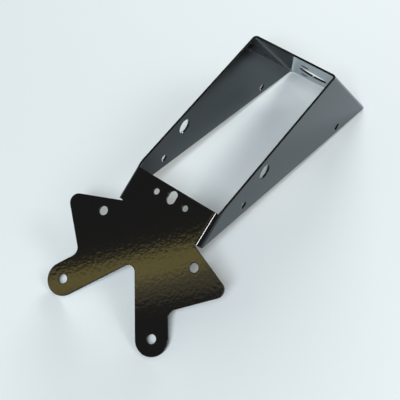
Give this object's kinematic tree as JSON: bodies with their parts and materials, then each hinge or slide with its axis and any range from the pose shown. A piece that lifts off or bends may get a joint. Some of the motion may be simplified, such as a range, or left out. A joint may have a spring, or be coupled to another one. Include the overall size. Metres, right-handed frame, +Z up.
{
  "type": "license plate holder",
  "caption": "Folded sheet-steel tail bracket for a motorbike: a forked plate seat with ears, a drilled neck, two tapering side walls and a leaning end wall with a cable opening.",
  "frame": {"origin": "bottom centre of the box around the bracket as it rests on a table", "axes": "+Z up as it rests, +Y from the leg tips towards the end wall, X across, the plate seat facing up and towards -Y"},
  "size_m": [0.1288, 0.277, 0.0769],
  "materials": {
    "gloss_black_coat": "gloss powder coat with a fine orange peel"
  },
  "bodies": {
    "root": {"plate_bracket": "gloss_black_coat"}
  },
  "joints": []
}
